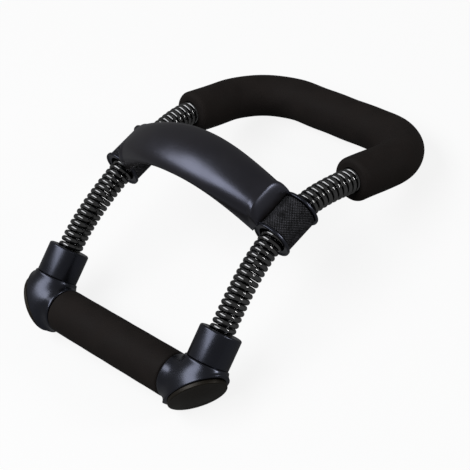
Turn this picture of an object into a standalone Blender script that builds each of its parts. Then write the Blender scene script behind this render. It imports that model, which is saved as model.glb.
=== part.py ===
# Wrist trainer: a foam handle and a padded forearm bar joined by two coil springs,
# with an arched wrist pad that slides along both springs on flanged collars.
#
# Axes: X runs across the wrist, Y from the handle to the forearm bar, Z up.
# The trainer stands as an arch on the rims of its two corner caps and on the bar's foam,
# with its springs bent as a bent wrist bends them. The driving sizes are all below.

import math

import bmesh
import bpy
import numpy as np
from mathutils import Matrix, Vector

MM = 0.001

# Facets round a large barrel, a small fastening, an oval cap, the pad, a foam tube and a rod
ROUND = 32
SMALL_ROUND = 16
CAP_ROUND = 40
PAD_ROUND = 20
FOAM_ROUND = 20
ROD_ROUND = 12
POINTS_PER_CURL = 8
WIRE_ROUND = 6

# Steps along the pad, the strap and each bend of the bar
PAD_STEPS = 18
STRAP_STEPS = 24
BEND_STEPS = 9

# Clearances
TOUCH_GAP = 0.3 * MM          # between faces that touch on the real trainer
RUNNING_GAP = 0.45 * MM       # between a spring's turns and the collar that slides on them
STRAP_SIDE_GAP = 0.5 * MM     # between the band's edge and the loop's, each side

# How meshes are cut and cleaned
CUT_REACH = 60.0 * MM         # how far a cutter runs on past what it cuts
POINT_MERGE = 0.01 * MM
SLIVER_MERGE = 0.02 * MM

# Springs
COIL_RADIUS = 6.65 * MM       # wire centre to spring axis
WIRE_RADIUS = 1.5 * MM
COIL_PITCH = 3.9 * MM
SPRING_INSERT = 9.2 * MM      # wound length hidden in the socket and in the foam

# Arch that the springs follow, from socket mouth to foam end
FRONT_STRETCH = 62.0 * MM     # socket mouth to collar
COLLAR_LENGTH = 29.0 * MM
REAR_STRETCH = 39.5 * MM      # collar to foam end
FRONT_BEND_RADIUS = 200.0 * MM    # of the spring's axis, at the socket mouth
COLLAR_BEND_RADIUS = 140.0 * MM
REAR_BEND_RADIUS = 80.0 * MM      # at the foam end
HANDLE_SPACING = 146.0 * MM   # between the two springs at the sockets
PAD_SPACING = 140.0 * MM      # between the two springs at the collars
BAR_SPACING = 148.0 * MM      # between the two springs at the foam ends

# Handle
SOCKET_DROP = 37.0 * MM       # socket mouth to handle axis
SOCKET_LENGTH = 20.2 * MM
SOCKET_RADIUS = 13.6 * MM
SOCKET_EDGE = 1.1 * MM
ELBOW_RADIUS = 14.5 * MM
HUB_REACH = 19.4 * MM         # spring axis to the grip
SPIGOT_INSET = 3.5 * MM       # spigot's tip below the socket's mouth
MITRE_ANGLE = math.radians(47)
MITRE_OFFSET = 2.7 * MM
INNER_FILLET = 1.6 * MM
FILLET_INSET = 0.5 * MM       # fillet tool inside the hub's surface
CORNER_REACH = 16.4 * MM      # both barrels run on this far past the crossing of their axes
GRIP_RADIUS = 14.6 * MM
GRIP_EDGE = 2.0 * MM
TUBE_RADIUS = 11.0 * MM
TUBE_WALL = 1.5 * MM
TUBE_INSERT = 9.0 * MM
WEB_THICKNESS = 4.0 * MM
PLUG_LENGTH = 14.0 * MM
BOLT_RADIUS = 3.0 * MM
BOLT_LENGTH = 15.0 * MM
HEAD_RADIUS = 4.6 * MM
HEAD_HEIGHT = 4.0 * MM
WASHER_RADIUS = 6.2 * MM
WASHER_THICKNESS = 1.0 * MM
CAP_LONG_RADIUS = 19.8 * MM
CAP_SHORT_RADIUS = 15.6 * MM
CAP_RIM = 2.6 * MM
CAP_CROWN = 1.8 * MM
CAP_CROWN_POWER = 1.3        # how flat the crown is in its middle

# Collars and strap
FLANGE_RADIUS = 13.3 * MM
FLANGE_THICKNESS = 2.0 * MM
SLEEVE_WALL = 1.4 * MM
STRAP_THICKNESS = 1.6 * MM
BAND_THICKNESS = 2.4 * MM

# Wrist pad, an arch between the collars
PAD_HALF_LENGTH = 64.5 * MM
PAD_UNDERSIDE = 34.0 * MM     # at the middle, above the collar axis
PAD_UNDERSIDE_END = -10.5 * MM    # where the arch would cross the collar axis
PAD_THICKNESS = 7.8 * MM
PAD_THICKNESS_END = 30.5 * MM     # upright, where the arch would cross the collar axis
PAD_ARCH_POWER = 2.35
PAD_WIDTH = 36.8 * MM
PAD_WIDTH_END = 32.0 * MM
PAD_BELLY = 1.2 * MM          # how far the underside bulges below its edges
PAD_END_BEVEL = 3.8 * MM      # length of the steep end face above the collar
PAD_TIP_WALL = 2.0 * MM       # height left between the end face and the collar's room
CROWN_POWER = 2.36            # squareness of the rounded top
BELLY_POWER = 3.2

# Forearm bar
ROD_OVERRUN = 6.0 * MM        # rod end past the foam, inside the spring
FOAM_RADIUS = 14.4 * MM
FOAM_EDGE = 3.5 * MM
LEG_LENGTH = 34.0 * MM
BAR_BEND_RADIUS = 38.0 * MM

REST_FLAT = 0.5 * MM          # depth of the worn flats that the trainer stands on

# Sizes that follow from the driving ones
SPRING_OUTER = COIL_RADIUS + WIRE_RADIUS
SOCKET_BORE = SPRING_OUTER + TOUCH_GAP
SPRING_TAIL = 2 * WIRE_RADIUS     # straight end of the wire
SPRING_HIDDEN = SPRING_INSERT + SPRING_TAIL
SPRING_INNER = COIL_RADIUS * math.cos(math.pi / POINTS_PER_CURL) - WIRE_RADIUS
PIN_RADIUS = SPRING_INNER - TOUCH_GAP     # spigot and rod that the springs slip over
FRONT_END = -(COLLAR_LENGTH / 2 + FRONT_STRETCH)
REAR_END = COLLAR_LENGTH / 2 + REAR_STRETCH
COLLAR_SAG = (COLLAR_LENGTH / 2) ** 2 / (2 * COLLAR_BEND_RADIUS)
COLLAR_BORE = SPRING_OUTER + COLLAR_SAG / 2 + RUNNING_GAP
SLEEVE_RADIUS = COLLAR_BORE + SLEEVE_WALL
LOOP_INNER = SLEEVE_RADIUS + TOUCH_GAP
LOOP_OUTER = LOOP_INNER + STRAP_THICKNESS
STRAP_WIDTH = COLLAR_LENGTH - 2 * FLANGE_THICKNESS - 2 * TOUCH_GAP
BAND_WIDTH = STRAP_WIDTH - 2 * STRAP_SIDE_GAP
COLLAR_ROOM = FLANGE_RADIUS + TOUCH_GAP
PAD_CREASE = PAD_HALF_LENGTH - PAD_END_BEVEL


# Scene and material helpers

def clear_scene():
    for obj in list(bpy.data.objects):
        bpy.data.objects.remove(obj, do_unlink=True)


def new_collection(name):
    collection = bpy.data.collections.new(name)
    bpy.context.scene.collection.children.link(collection)
    return collection


def finish_material(name, colour, roughness, metallic=0.0):
    mat = bpy.data.materials.new(name)
    mat.use_nodes = True
    shader = mat.node_tree.nodes["Principled BSDF"]
    shader.inputs["Base Color"].default_value = (*colour, 1.0)
    shader.inputs["Roughness"].default_value = roughness
    shader.inputs["Metallic"].default_value = metallic
    mat.diffuse_color = (*colour, 1.0)
    return mat


clear_scene()
PIECES = new_collection("wrist_trainer")
CUTTERS = new_collection("cutters")

FOAM = finish_material("foam_black", (0.028, 0.026, 0.027), 0.75)
PAD_SKIN = finish_material("pad_skin_charcoal", (0.045, 0.044, 0.050), 0.45)
PLASTIC = finish_material("moulded_black", (0.030, 0.030, 0.036), 0.35)
CAP_PLASTIC = finish_material("cap_grey", (0.055, 0.053, 0.048), 0.50)
SPRING_STEEL = finish_material("spring_black", (0.012, 0.012, 0.014), 0.20, 0.6)
WEBBING = finish_material("webbing_charcoal", (0.035, 0.035, 0.038), 0.85)
STEEL = finish_material("bright_steel", (0.60, 0.60, 0.62), 0.30, 1.0)


# The arch: a curve in the side plane, measured from the middle of the collars

def walk_arch(direction, length, end_radius, samples=400):
    """Distances, positions and heading from the collar's middle out to one end.

    The bend is steady inside the collar and changes evenly from there to the end."""
    inner = COLLAR_LENGTH / 2
    run = np.linspace(0.0, inner + length, samples)
    rate = np.interp(run, [inner, inner + length], [1 / COLLAR_BEND_RADIUS, 1 / end_radius])
    step = run[1] - run[0]
    turned = np.concatenate([[0.0], np.cumsum((rate[1:] + rate[:-1]) / 2 * step)])
    along = np.concatenate([[0.0], np.cumsum((np.cos(turned[1:]) + np.cos(turned[:-1])) / 2 * step)])
    down = np.concatenate([[0.0], np.cumsum((np.sin(turned[1:]) + np.sin(turned[:-1])) / 2 * step)])
    return run * direction, along * direction, -down, -turned * direction


FRONT_WALK = walk_arch(-1, FRONT_STRETCH, FRONT_BEND_RADIUS)
REAR_WALK = walk_arch(1, REAR_STRETCH, REAR_BEND_RADIUS)
ARCH_RUN, ARCH_Y, ARCH_Z, ARCH_TURN = (
    np.concatenate([front[:0:-1], rear]) for front, rear in zip(FRONT_WALK, REAR_WALK))


def station(run):
    """Position (y, z) and heading of the arch at a distance from the collar's middle."""
    held = min(max(run, FRONT_END), REAR_END)
    y, z, turn = (float(np.interp(held, ARCH_RUN, track)) for track in (ARCH_Y, ARCH_Z, ARCH_TURN))
    past = run - held
    return y + past * math.cos(turn), z + past * math.sin(turn), turn


def eased(t):
    t = min(max(t, 0.0), 1.0)
    return t * t * (3 - 2 * t)


def side_offset(run):
    """Half the spacing of the two springs at a distance from the collar's middle."""
    inner = COLLAR_LENGTH / 2
    if run < 0:
        blend, outer = eased((-run - inner) / FRONT_STRETCH), HANDLE_SPACING
    else:
        blend, outer = eased((run - inner) / REAR_STRETCH), BAR_SPACING
    return (PAD_SPACING + (outer - PAD_SPACING) * blend) / 2


def along_arch(x, y, z, turn):
    """Frame whose local Z runs along the arch and whose local X runs across the wrist."""
    return Matrix.Translation((x, y, z)) @ Matrix.Rotation(turn - math.pi / 2, 4, "X")


def elbow_frame(side):
    """Frame at the crossing of handle axis and socket axis, local Z up the socket, X outwards."""
    y, z, turn = station(FRONT_END - SOCKET_DROP)
    flip = Matrix.Rotation(0.0 if side > 0 else math.pi, 4, "Z")
    return along_arch(side * HANDLE_SPACING / 2, y, z, turn) @ flip


def mitre_frame():
    """Frame on the cut corner of an elbow, local Z out of the cut face, local X up its long side."""
    return Matrix.Rotation(math.pi - MITRE_ANGLE, 4, "Y") @ Matrix.Translation((0, 0, MITRE_OFFSET))


# How the arch stands: turned so that the cap rims and the bar's foam reach the ground together

def cap_rim_points():
    ring = np.linspace(0, 2 * math.pi, 73)
    seat = TOUCH_GAP
    local = [Vector((CAP_LONG_RADIUS * math.cos(a), CAP_SHORT_RADIUS * math.sin(a), seat + h))
             for a in ring for h in (0.0, CAP_RIM)]
    frame = elbow_frame(1) @ mitre_frame()
    return np.array([frame @ point for point in local])


def bar_axis():
    y, z, turn = station(REAR_END + LEG_LENGTH + BAR_BEND_RADIUS)
    return np.array([0.0, y, z])


def height_difference(tilt, rim, bar):
    rim_low = (rim[:, 1] * math.sin(tilt) + rim[:, 2] * math.cos(tilt)).min()
    bar_low = bar[1] * math.sin(tilt) + bar[2] * math.cos(tilt) - FOAM_RADIUS
    return rim_low - bar_low


def standing_frame():
    """Turn and lift that stand the arch on the ground, with both worn flats at height zero."""
    rim, bar = cap_rim_points(), bar_axis()
    low, high = math.radians(-30), math.radians(30)
    for _ in range(50):
        middle = (low + high) / 2
        if height_difference(low, rim, bar) * height_difference(middle, rim, bar) <= 0:
            high = middle
        else:
            low = middle
    tilt = (low + high) / 2
    turned = Matrix.Rotation(tilt, 4, "X")
    bar_at = turned @ Vector(bar)
    rim_front = min((turned @ Vector(point)).y for point in rim)
    centre_y = (bar_at.y + FOAM_RADIUS + rim_front) / 2
    return Matrix.Translation((0, -centre_y, FOAM_RADIUS - REST_FLAT - bar_at.z)) @ turned


ARCH = standing_frame()


# Mesh helpers

def link(obj, frame, mat=None, cutter=False):
    (CUTTERS if cutter else PIECES).objects.link(obj)
    obj.matrix_world = ARCH @ frame
    if cutter:
        obj.hide_render = True
        obj.display_type = "WIRE"
    if mat:
        obj.data.materials.append(mat)
    return obj


def shade(obj, angle=40):
    if obj.type == "MESH":
        obj.data.shade_smooth()
        obj.data.set_sharp_from_angle(angle=math.radians(angle))
    return obj


def turned(name, profile, frame, mat=None, segments=ROUND, closed=False, cutter=False):
    """Turn a profile of (radius, height) pairs, listed down its outer side, about local Z."""
    mesh = bpy.data.meshes.new(name)
    count = len(profile)
    edges = [(i, (i + 1) % count) for i in range(count if closed else count - 1)]
    mesh.from_pydata([(r, 0.0, h) for r, h in profile], edges, [])
    obj = link(bpy.data.objects.new(name, mesh), frame, mat, cutter)
    screw = obj.modifiers.new("turn", "SCREW")
    screw.axis = "Z"
    screw.steps = screw.render_steps = segments
    screw.use_merge_vertices = True
    screw.merge_threshold = POINT_MERGE
    screw.use_smooth_shade = True
    return obj


def rod(name, radius, low, high, frame, mat=None, segments=ROUND, cutter=False):
    """Solid cylinder about local Z from low to high."""
    profile = [(0, high), (radius, high), (radius, low), (0, low)]
    return turned(name, profile, frame, mat, segments, cutter=cutter)


def ring(name, outer, inner, low, high, frame, mat, edge=0.0, segments=ROUND):
    """Tube about local Z, with its outer edges rounded."""
    arc = [math.pi / 2 * i / 2 for i in range(3)] if edge else [0.0]
    top = [(outer - edge + edge * math.sin(a), high - edge + edge * math.cos(a)) for a in arc]
    bottom = [(r, low + high - h) for r, h in reversed(top)]
    return turned(name, top + bottom + [(inner, low), (inner, high)], frame, mat, segments, closed=True)


def block(name, reach, frame):
    """Cutting block over everything above local Z = 0, out to the reach on every side."""
    mesh = bpy.data.meshes.new(name)
    shape = bmesh.new()
    bmesh.ops.create_cube(shape, size=2 * reach, matrix=Matrix.Translation((0, 0, reach)))
    shape.to_mesh(mesh)
    shape.free()
    return link(bpy.data.objects.new(name, mesh), frame, cutter=True)


def combine(obj, tool, operation="DIFFERENCE", solver="EXACT"):
    cut = obj.modifiers.new(tool.name, "BOOLEAN")
    cut.operation = operation
    cut.object = tool
    cut.solver = solver
    return obj


def merge_slivers(obj):
    """Weld the very short edges that several cuts leave."""
    weld = obj.modifiers.new("merge_slivers", "WELD")
    weld.merge_threshold = SLIVER_MERGE
    return obj


def tube_mesh(name, points, radius, frame, mat, sides, scales=None, cutter=False):
    """Round tube of one closed mesh along the points, made from a bevelled curve."""
    data = bpy.data.curves.new(name, "CURVE")
    data.dimensions = "3D"
    data.bevel_depth = radius
    data.bevel_resolution = sides // 2 - 2
    data.use_fill_caps = True
    spline = data.splines.new("POLY")
    spline.points.add(len(points) - 1)
    for i, point in enumerate(points):
        spline.points[i].co = (*point, 1.0)
        spline.points[i].radius = scales[i] if scales is not None else 1.0
    curve = bpy.data.objects.new(name + "_route", data)
    bpy.context.scene.collection.objects.link(curve)
    graph = bpy.context.evaluated_depsgraph_get()
    mesh = bpy.data.meshes.new_from_object(curve.evaluated_get(graph))
    bpy.data.objects.remove(curve, do_unlink=True)
    shape = bmesh.new()
    shape.from_mesh(mesh)
    bmesh.ops.remove_doubles(shape, verts=shape.verts, dist=POINT_MERGE)
    bmesh.ops.recalc_face_normals(shape, faces=shape.faces)
    shape.to_mesh(mesh)
    shape.free()
    return shade(link(bpy.data.objects.new(name, mesh), frame, mat, cutter))


def named_side(side):
    return "right" if side > 0 else "left"


GROUND = link(bpy.data.objects.new("ground_cutter", bpy.data.meshes.new("ground_cutter")),
              ARCH.inverted(), cutter=True)


def shape_ground_cutter():
    shape = bmesh.new()
    reach = 2 * (FRONT_STRETCH + COLLAR_LENGTH + REAR_STRETCH + LEG_LENGTH + HANDLE_SPACING)
    bmesh.ops.create_cube(shape, size=reach, matrix=Matrix.Translation((0, 0, -reach / 2)))
    shape.to_mesh(GROUND.data)
    shape.free()


shape_ground_cutter()


# Springs

def spring_points(side):
    """Wire centre line: a helix about the arch, with a straight tail at each end."""
    first, last = FRONT_END - SPRING_INSERT, REAR_END + SPRING_INSERT
    curls = (last - first) / COIL_PITCH
    steps = int(round(curls * POINTS_PER_CURL))
    points = []
    for i in range(steps + 1):
        run = first + (last - first) * i / steps
        y, z, turn = station(run)
        swing = 2 * math.pi * i / POINTS_PER_CURL
        up = Vector((0, -math.sin(turn), math.cos(turn)))
        centre = Vector((side * side_offset(run), y, z))
        points.append(centre + Vector((COIL_RADIUS * math.cos(swing), 0, 0)) + up * COIL_RADIUS * math.sin(swing))
    for end, run in ((0, first), (-1, last)):
        turn = station(run)[2]
        outward = Vector((0, math.cos(turn), math.sin(turn))) * (-1 if end == 0 else 1)
        tail = points[end] + outward * SPRING_TAIL
        points.insert(0 if end == 0 else len(points), tail)
    return np.array(points)


def self_gap(points):
    """Least clear distance between turns, measured on points along the wire."""
    fine = np.concatenate([points[:-1] + (points[1:] - points[:-1]) * t for t in (0.0, 0.25, 0.5, 0.75)])
    order = np.concatenate([np.arange(len(points) - 1) + t for t in (0.0, 0.25, 0.5, 0.75)])
    least = math.inf
    for here, at in zip(fine, order):
        far = np.abs(order - at) > POINTS_PER_CURL / 2
        least = min(least, float(np.linalg.norm(fine[far] - here, axis=1).min()))
    return least - 2 * WIRE_RADIUS


def make_springs():
    for side in (-1, 1):
        points = spring_points(side)
        tube_mesh(named_side(side) + "_spring", points, WIRE_RADIUS, Matrix(), SPRING_STEEL, WIRE_ROUND)
        print(named_side(side) + " spring least gap to itself, mm: %.2f" % (self_gap(points) / MM))


# Handle

def make_elbow(side):
    """Cast corner: socket base, hub for the handle tube, spigot, and a mitred outer corner."""
    name = named_side(side)
    frame = elbow_frame(side)
    across = frame @ Matrix.Rotation(math.pi / 2, 4, "Y")     # local Z outwards along the handle
    shoulder = SOCKET_DROP - SOCKET_LENGTH - TOUCH_GAP
    boss_top = SOCKET_DROP - SPRING_HIDDEN - TOUCH_GAP
    spigot_top = SOCKET_DROP - SPIGOT_INSET
    profile = [(0, spigot_top), (PIN_RADIUS, spigot_top), (PIN_RADIUS, boss_top),
               (SOCKET_BORE - TOUCH_GAP, boss_top), (SOCKET_BORE - TOUCH_GAP, shoulder),
               (ELBOW_RADIUS, shoulder), (ELBOW_RADIUS, -CORNER_REACH), (0, -CORNER_REACH)]
    elbow = turned(name + "_elbow", profile, frame, PLASTIC)
    hub = rod(name + "_hub_tool", ELBOW_RADIUS, -HUB_REACH, CORNER_REACH, across, cutter=True)
    fillet_radius = ELBOW_RADIUS - FILLET_INSET
    leg_top = shoulder - FILLET_INSET
    bend = min(fillet_radius + INNER_FILLET, leg_top - FILLET_INSET)
    arc = [math.pi / 2 * i / 6 for i in range(7)]
    fillet_path = [(-bend + bend * math.sin(a), 0.0, bend - bend * math.cos(a)) for a in arc]
    fillet_path = [(-HUB_REACH, 0.0, 0.0)] + fillet_path + [(0.0, 0.0, leg_top)]
    fillet = tube_mesh(name + "_fillet_tool", fillet_path, fillet_radius, frame, None, FOAM_ROUND, cutter=True)
    combine(elbow, hub, "UNION")
    combine(elbow, fillet, "UNION")
    mitre = block(name + "_mitre_tool", CUT_REACH, frame @ mitre_frame())
    combine(elbow, mitre)
    bore_floor = -HUB_REACH + TUBE_INSERT + TOUCH_GAP
    recess_floor = bore_floor + WEB_THICKNESS
    bore = rod(name + "_tube_bore", TUBE_RADIUS + TOUCH_GAP, -CUT_REACH, bore_floor, across, cutter=True)
    recess = rod(name + "_bolt_recess", WASHER_RADIUS + TOUCH_GAP, recess_floor, CUT_REACH, across,
                 segments=SMALL_ROUND, cutter=True)
    hole = rod(name + "_bolt_hole", BOLT_RADIUS + TOUCH_GAP, -HUB_REACH, CUT_REACH, across,
               segments=SMALL_ROUND, cutter=True)
    for tool in (bore, recess, hole):
        combine(elbow, tool, solver="MANIFOLD")
    merge_slivers(elbow)
    make_bolt(name, across, recess_floor)
    make_cap(name, frame)


def make_bolt(name, across, seat):
    """Bolt and washer that draw the elbow onto the plug in the handle tube."""
    washer_low = seat + TOUCH_GAP
    washer_high = washer_low + WASHER_THICKNESS
    ring(name + "_bolt_washer", WASHER_RADIUS, BOLT_RADIUS + TOUCH_GAP, washer_low, washer_high,
         across, STEEL, segments=SMALL_ROUND)
    head_low = washer_high + TOUCH_GAP
    head_high = head_low + HEAD_HEIGHT
    tip = head_low - BOLT_LENGTH
    socket_radius, socket_depth = HEAD_RADIUS / 2, HEAD_HEIGHT / 2
    turned(name + "_handle_bolt",
           [(0, head_high - socket_depth), (socket_radius, head_high - socket_depth), (socket_radius, head_high),
            (HEAD_RADIUS, head_high), (HEAD_RADIUS, head_low), (BOLT_RADIUS, head_low),
            (BOLT_RADIUS, tip), (0, tip)], across, STEEL, segments=SMALL_ROUND)


def make_cap(name, frame):
    """Oval crowned cap over the mitred corner, with a worn flat where it stands."""
    top = TOUCH_GAP + CAP_RIM + CAP_CROWN
    crown = []
    for i in range(6):
        t = i / 5
        crown.append((CAP_SHORT_RADIUS * math.sin(math.pi / 2 * t),
                      TOUCH_GAP + CAP_RIM + CAP_CROWN * math.cos(math.pi / 2 * t) ** CAP_CROWN_POWER))
    profile = [(0, top)] + crown[1:] + [(CAP_SHORT_RADIUS, TOUCH_GAP), (0, TOUCH_GAP)]
    stretch = Matrix.Diagonal((CAP_LONG_RADIUS / CAP_SHORT_RADIUS, 1, 1, 1))
    cap = turned(name + "_corner_cap", profile, frame @ mitre_frame() @ stretch, CAP_PLASTIC, CAP_ROUND)
    combine(cap, GROUND)
    merge_slivers(cap)


def make_handle():
    for side in (-1, 1):
        name = named_side(side)
        frame = elbow_frame(side)
        mouth = SOCKET_DROP
        ring(name + "_spring_socket", SOCKET_RADIUS, SOCKET_BORE, mouth - SOCKET_LENGTH, mouth,
             frame, PLASTIC, SOCKET_EDGE)
        make_elbow(side)
    middle = elbow_frame(1)
    middle.translation.x = 0
    across = middle @ Matrix.Rotation(math.pi / 2, 4, "Y")
    hub_face = HANDLE_SPACING / 2 - HUB_REACH
    grip_half = hub_face - TOUCH_GAP
    tube_half = hub_face + TUBE_INSERT
    tube_bore = TUBE_RADIUS - TUBE_WALL
    ring("handle_grip", GRIP_RADIUS, TUBE_RADIUS + TOUCH_GAP, -grip_half, grip_half, across, FOAM, GRIP_EDGE)
    ring("handle_tube", TUBE_RADIUS, tube_bore, -tube_half, tube_half, across, STEEL)
    for side in (-1, 1):
        outward = across if side > 0 else across @ Matrix.Rotation(math.pi, 4, "X")
        ring(named_side(side) + "_tube_plug", tube_bore - TOUCH_GAP, BOLT_RADIUS + TOUCH_GAP,
             tube_half - PLUG_LENGTH, tube_half - TOUCH_GAP, outward, STEEL, segments=SMALL_ROUND)


# Collars, strap and pad

def collar_frame(side):
    """Frame at a collar's middle, local Z along the springs, sunk by half the bend inside it."""
    return along_arch(side * PAD_SPACING / 2, 0.0, -COLLAR_SAG / 2, 0.0)


def pad_frame():
    """Frame between the collars with local X across, local Y up and local Z towards the handle."""
    return Matrix.Translation((0, 0, -COLLAR_SAG / 2)) @ Matrix.Rotation(math.pi / 2, 4, "X")


def make_collars():
    half = COLLAR_LENGTH / 2
    lip = FLANGE_THICKNESS / 2
    inner = half - FLANGE_THICKNESS
    for side in (-1, 1):
        arc = [math.pi * i / 3 for i in range(4)]
        top_lip = [(FLANGE_RADIUS - lip + lip * math.sin(a), half - lip + lip * math.cos(a)) for a in arc]
        bottom_lip = [(r, -h) for r, h in reversed(top_lip)]
        profile = (top_lip + [(SLEEVE_RADIUS, inner), (SLEEVE_RADIUS, -inner)] + bottom_lip
                   + [(COLLAR_BORE, -half), (COLLAR_BORE, half)])
        turned(named_side(side) + "_collar", profile, collar_frame(side), PLASTIC, closed=True)


def pad_height(x, middle, end):
    """Height of the pad's arch at x: it falls from its middle to the springs, and is level past them."""
    return middle - (middle - end) * min(abs(x) / (PAD_SPACING / 2), 1.0) ** PAD_ARCH_POWER


def pad_underside(x):
    return pad_height(x, PAD_UNDERSIDE, PAD_UNDERSIDE_END)


def pad_crown(x):
    return pad_height(x, PAD_UNDERSIDE + PAD_THICKNESS, PAD_UNDERSIDE_END + PAD_THICKNESS_END)


def strap_height(x):
    return (pad_underside(x) + pad_crown(x)) / 2


def strap_reach(radius):
    """How far out the strap's middle line comes to this radius about the collar axis."""
    low, high = 0.0, PAD_SPACING / 2
    for _ in range(40):
        middle = (low + high) / 2
        if math.hypot(PAD_SPACING / 2 - middle, strap_height(middle)) > radius:
            low = middle
        else:
            high = middle
    return high


def band(name, reach, thickness, width, mat=None, cutter=False):
    """Arched strip through the pad: its middle line offset both ways, then given its width."""
    xs = np.linspace(-reach, reach, STRAP_STEPS + 1)
    zs = np.array([strap_height(x) for x in xs])
    slope = np.gradient(zs, xs)
    normal = np.stack([-slope, np.ones_like(slope)], 1) / np.sqrt(1 + slope ** 2)[:, None]
    line = np.stack([xs, zs], 1)
    outline = np.concatenate([line + normal * thickness / 2, (line - normal * thickness / 2)[::-1]])
    data = bpy.data.curves.new(name, "CURVE")
    data.dimensions = "2D"
    data.fill_mode = "BOTH"
    data.extrude = width / 2
    spline = data.splines.new("POLY")
    spline.points.add(len(outline) - 1)
    for point, (x, z) in zip(spline.points, outline):
        point.co = (x, z, 0, 1)
    spline.use_cyclic_u = True
    curve = bpy.data.objects.new(name + "_outline", data)
    bpy.context.scene.collection.objects.link(curve)
    graph = bpy.context.evaluated_depsgraph_get()
    mesh = bpy.data.meshes.new_from_object(curve.evaluated_get(graph))
    bpy.data.objects.remove(curve, do_unlink=True)
    shape = bmesh.new()
    shape.from_mesh(mesh)
    bmesh.ops.remove_doubles(shape, verts=shape.verts, dist=POINT_MERGE)
    bmesh.ops.recalc_face_normals(shape, faces=shape.faces)
    shape.to_mesh(mesh)
    shape.free()
    return shade(link(bpy.data.objects.new(name, mesh), pad_frame(), mat, cutter))


def make_strap():
    """One webbing strap: an arched band through the pad with a loop round each collar."""
    strap = band("pad_strap", strap_reach(LOOP_INNER), BAND_THICKNESS, BAND_WIDTH, WEBBING)
    half = STRAP_WIDTH / 2
    for side in (-1, 1):
        name = named_side(side)
        loop = rod(name + "_loop_tool", LOOP_OUTER, -half, half, collar_frame(side), cutter=True)
        eye = rod(name + "_eye_tool", LOOP_INNER, -CUT_REACH, CUT_REACH, collar_frame(side), cutter=True)
        combine(strap, loop, "UNION", "MANIFOLD")
        combine(strap, eye, solver="MANIFOLD")
    merge_slivers(strap)


def pad_top(x):
    """Crown of the pad, cut off by a steep face that ends just above the collar's room."""
    room_top = math.sqrt(max(COLLAR_ROOM ** 2 - (PAD_SPACING / 2 - PAD_HALF_LENGTH) ** 2, 0.0))
    tip = room_top + PAD_TIP_WALL
    rise = (pad_crown(PAD_CREASE) - tip) / PAD_END_BEVEL
    return min(pad_crown(x), tip + rise * (PAD_HALF_LENGTH - abs(x)))


def pad_section(x):
    """Outline of the pad across one station: crowned above, gently bellied below."""
    edge_line = pad_underside(x)
    share = (abs(x) / (PAD_SPACING / 2)) ** 2
    half_width = (PAD_WIDTH + (PAD_WIDTH_END - PAD_WIDTH) * share) / 2
    outline = []
    for i in range(PAD_ROUND):
        angle = 2 * math.pi * i / PAD_ROUND
        c, s = math.cos(angle), math.sin(angle)
        power, height = (2 / CROWN_POWER, pad_top(x) - edge_line) if s >= 0 else (2 / BELLY_POWER, PAD_BELLY)
        outline.append((x, edge_line + height * math.copysign(abs(s) ** power, s),
                        half_width * math.copysign(abs(c) ** power, c)))
    return outline


def pad_stations():
    """Places along the pad, closer together where it steepens, with the end faces last."""
    even = np.linspace(-1, 1, PAD_STEPS + 1)
    middle = (0.65 * even + 0.35 * np.sin(even * math.pi / 2)) * PAD_CREASE
    face = PAD_CREASE + PAD_END_BEVEL * np.array([0.5, 1.0])
    return np.concatenate([-face[::-1], middle, face])


def make_pad():
    """Arched cushion, cut away round the collars and tunnelled for the strap."""
    shape = bmesh.new()
    rings = []
    for x in pad_stations():
        rings.append([shape.verts.new(point) for point in pad_section(x)])
    for near, far in zip(rings, rings[1:]):
        for i in range(PAD_ROUND):
            j = (i + 1) % PAD_ROUND
            shape.faces.new((near[i], near[j], far[j], far[i]))
    shape.faces.new(rings[0])
    shape.faces.new(rings[-1][::-1])
    bmesh.ops.recalc_face_normals(shape, faces=shape.faces)
    mesh = bpy.data.meshes.new("wrist_pad")
    shape.to_mesh(mesh)
    shape.free()
    pad = shade(link(bpy.data.objects.new("wrist_pad", mesh), pad_frame(), PAD_SKIN))
    tunnel = band("tunnel_tool", PAD_SPACING / 2, BAND_THICKNESS + 2 * TOUCH_GAP,
                  BAND_WIDTH + 2 * TOUCH_GAP, cutter=True)
    combine(pad, tunnel, solver="MANIFOLD")
    for side in (-1, 1):
        around_collar = rod(named_side(side) + "_collar_room", COLLAR_ROOM, -CUT_REACH, CUT_REACH,
                            collar_frame(side), cutter=True)
        combine(pad, around_collar, solver="MANIFOLD")
    merge_slivers(pad)


# Forearm bar

def bar_route(overrun):
    """Centre line of the U: a leg, a bend, the crossbar, and the same again mirrored."""
    y, z, turn = station(REAR_END)
    forward = Vector((0, math.cos(turn), math.sin(turn)))
    start = Vector((BAR_SPACING / 2, y, z))
    points = [start - forward * overrun]
    for i in range(BEND_STEPS + 1):
        angle = math.pi / 2 * i / BEND_STEPS
        points.append(start + forward * (LEG_LENGTH + BAR_BEND_RADIUS * math.sin(angle))
                      - Vector((BAR_BEND_RADIUS * (1 - math.cos(angle)), 0, 0)))
    return points + mirrored(points)


def mirrored(points):
    return [Vector((-p.x, p.y, p.z)) for p in reversed(points)]


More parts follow.
